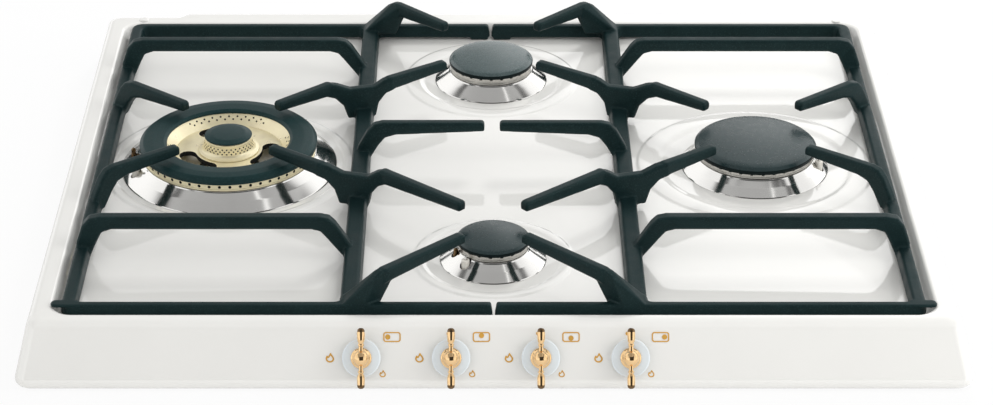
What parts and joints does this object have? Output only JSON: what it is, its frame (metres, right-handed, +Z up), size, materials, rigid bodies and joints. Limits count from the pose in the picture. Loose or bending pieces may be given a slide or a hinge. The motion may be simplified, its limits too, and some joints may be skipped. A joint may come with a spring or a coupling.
{
  "type": "gas cooktop",
  "caption": "Built-in white enamel gas hob with a sloping front fascia, gas burners, two dark cast-iron pan supports and gold-handled push-and-turn controls.",
  "frame": {"origin": "centre of the base tray's flat underside", "axes": "+X to the user's right, +Y to the back, away from the controls, +Z up"},
  "size_m": [0.596, 0.5087, 0.1069],
  "materials": {
    "enamel": "glossy warm white vitreous enamel",
    "galvanised": "satin galvanised steel",
    "seal": "matte closed-cell foam strip",
    "iron": "matte dark enamelled cast iron",
    "cap_enamel": "satin dark grey vitreous enamel",
    "polished_steel": "mirror polish",
    "cast_aluminium": "fine cast and machined",
    "champagne_alloy": "satin champagne tone",
    "ceramic": "glazed ceramic insulator with a steel pin",
    "brass": "machined",
    "porcelain": "glossy bluish white",
    "gold": "polished gold plate",
    "plastic": "moulded"
  },
  "bodies": {
    "hob": {"hob_top": "enamel", "base_tray": "galvanised", "worktop_seal": "seal", "burner_cup_right": "cast_aluminium", "burner_skirt_right": "polished_steel", "electrode_right": "ceramic", "thermocouple_right": "brass", "burner_cup_rear": "cast_aluminium", "burner_skirt_rear": "polished_steel", "electrode_rear": "ceramic", "thermocouple_rear": "brass", "burner_cup_front": "cast_aluminium", "burner_skirt_front": "polished_steel", "electrode_front": "ceramic", "thermocouple_front": "brass", "burner_cup_left": "cast_aluminium", "burner_skirt_left": "polished_steel", "burner_crown_left": "champagne_alloy", "burner_ring_cap_left": "cap_enamel", "burner_crown_centre": "champagne_alloy", "electrode_left": "ceramic", "thermocouple_left": "brass", "tap_body_left": "brass", "tap_body_rear": "brass", "tap_body_front": "brass", "tap_body_right": "brass", "gas_rail": "galvanised", "gas_inlet": "brass", "feed_tube_left": "cast_aluminium", "feed_tube_rear": "cast_aluminium", "feed_tube_front": "cast_aluminium", "feed_tube_right": "cast_aluminium", "igniter": "plastic", "mains_terminals": "plastic"},
    "pan_support_left": {"pan_support_left": "iron"},
    "pan_support_right": {"pan_support_right": "iron"},
    "crown_right": {"burner_crown_right": "cast_aluminium"},
    "cap_right": {"burner_cap_right": "cap_enamel"},
    "crown_rear": {"burner_crown_rear": "cast_aluminium"},
    "cap_rear": {"burner_cap_rear": "cap_enamel"},
    "crown_front": {"burner_crown_front": "cast_aluminium"},
    "cap_front": {"burner_cap_front": "cap_enamel"},
    "cap_centre": {"burner_cap_centre": "cap_enamel"},
    "plug_left": {"tap_plug_left": "brass"},
    "control_left": {"spindle_left": "polished_steel", "control_disc_left": "porcelain", "control_handle_left": "gold"},
    "plug_rear": {"tap_plug_rear": "brass"},
    "control_rear": {"spindle_rear": "polished_steel", "control_disc_rear": "porcelain", "control_handle_rear": "gold"},
    "plug_front": {"tap_plug_front": "brass"},
    "control_front": {"spindle_front": "polished_steel", "control_disc_front": "porcelain", "control_handle_front": "gold"},
    "plug_right": {"tap_plug_right": "brass"},
    "control_right": {"spindle_right": "polished_steel", "control_disc_right": "porcelain", "control_handle_right": "gold"}
  },
  "joints": [
    {"name": "pan_support_left_lift", "type": "slide", "parent": "hob", "child": "pan_support_left", "axis": [0, 0, 1], "range_m": [0, 0.15]},
    {"name": "pan_support_right_lift", "type": "slide", "parent": "hob", "child": "pan_support_right", "axis": [0, 0, 1], "range_m": [0, 0.15]},
    {"name": "crown_right_lift", "type": "slide", "parent": "hob", "child": "crown_right", "axis": [0, 0, 1], "range_m": [0, 0.05]},
    {"name": "cap_right_lift", "type": "slide", "parent": "crown_right", "child": "cap_right", "axis": [0, 0, 1], "range_m": [0, 0.03]},
    {"name": "crown_rear_lift", "type": "slide", "parent": "hob", "child": "crown_rear", "axis": [0, 0, 1], "range_m": [0, 0.05]},
    {"name": "cap_rear_lift", "type": "slide", "parent": "crown_rear", "child": "cap_rear", "axis": [0, 0, 1], "range_m": [0, 0.03]},
    {"name": "crown_front_lift", "type": "slide", "parent": "hob", "child": "crown_front", "axis": [0, 0, 1], "range_m": [0, 0.05]},
    {"name": "cap_front_lift", "type": "slide", "parent": "crown_front", "child": "cap_front", "axis": [0, 0, 1], "range_m": [0, 0.03]},
    {"name": "cap_centre_lift", "type": "slide", "parent": "hob", "child": "cap_centre", "axis": [0, 0, 1], "range_m": [0, 0.03]},
    {"name": "control_left_turn", "type": "hinge", "parent": "hob", "child": "plug_left", "pos_m": [-0.08205, -0.24065, 0.06368], "axis": [0, -0.8809, 0.4733], "range_deg": [0, 233]},
    {"name": "control_left_press", "type": "slide", "parent": "plug_left", "child": "control_left", "axis": [0, 0.8809, -0.4733], "range_m": [0, 0.003], "stiffness_N_per_m": 600, "springref_m": -0.002},
    {"name": "control_rear_turn", "type": "hinge", "parent": "hob", "child": "plug_rear", "pos_m": [-0.02655, -0.24065, 0.06368], "axis": [0, -0.8809, 0.4733], "range_deg": [0, 233]},
    {"name": "control_rear_press", "type": "slide", "parent": "plug_rear", "child": "control_rear", "axis": [0, 0.8809, -0.4733], "range_m": [0, 0.003], "stiffness_N_per_m": 600, "springref_m": -0.002},
    {"name": "control_front_turn", "type": "hinge", "parent": "hob", "child": "plug_front", "pos_m": [0.02895, -0.24065, 0.06368], "axis": [0, -0.8809, 0.4733], "range_deg": [0, 233]},
    {"name": "control_front_press", "type": "slide", "parent": "plug_front", "child": "control_front", "axis": [0, 0.8809, -0.4733], "range_m": [0, 0.003], "stiffness_N_per_m": 600, "springref_m": -0.002},
    {"name": "control_right_turn", "type": "hinge", "parent": "hob", "child": "plug_right", "pos_m": [0.08445, -0.24065, 0.06368], "axis": [0, -0.8809, 0.4733], "range_deg": [0, 233]},
    {"name": "control_right_press", "type": "slide", "parent": "plug_right", "child": "control_right", "axis": [0, 0.8809, -0.4733], "range_m": [0, 0.003], "stiffness_N_per_m": 600, "springref_m": -0.002}
  ]
}
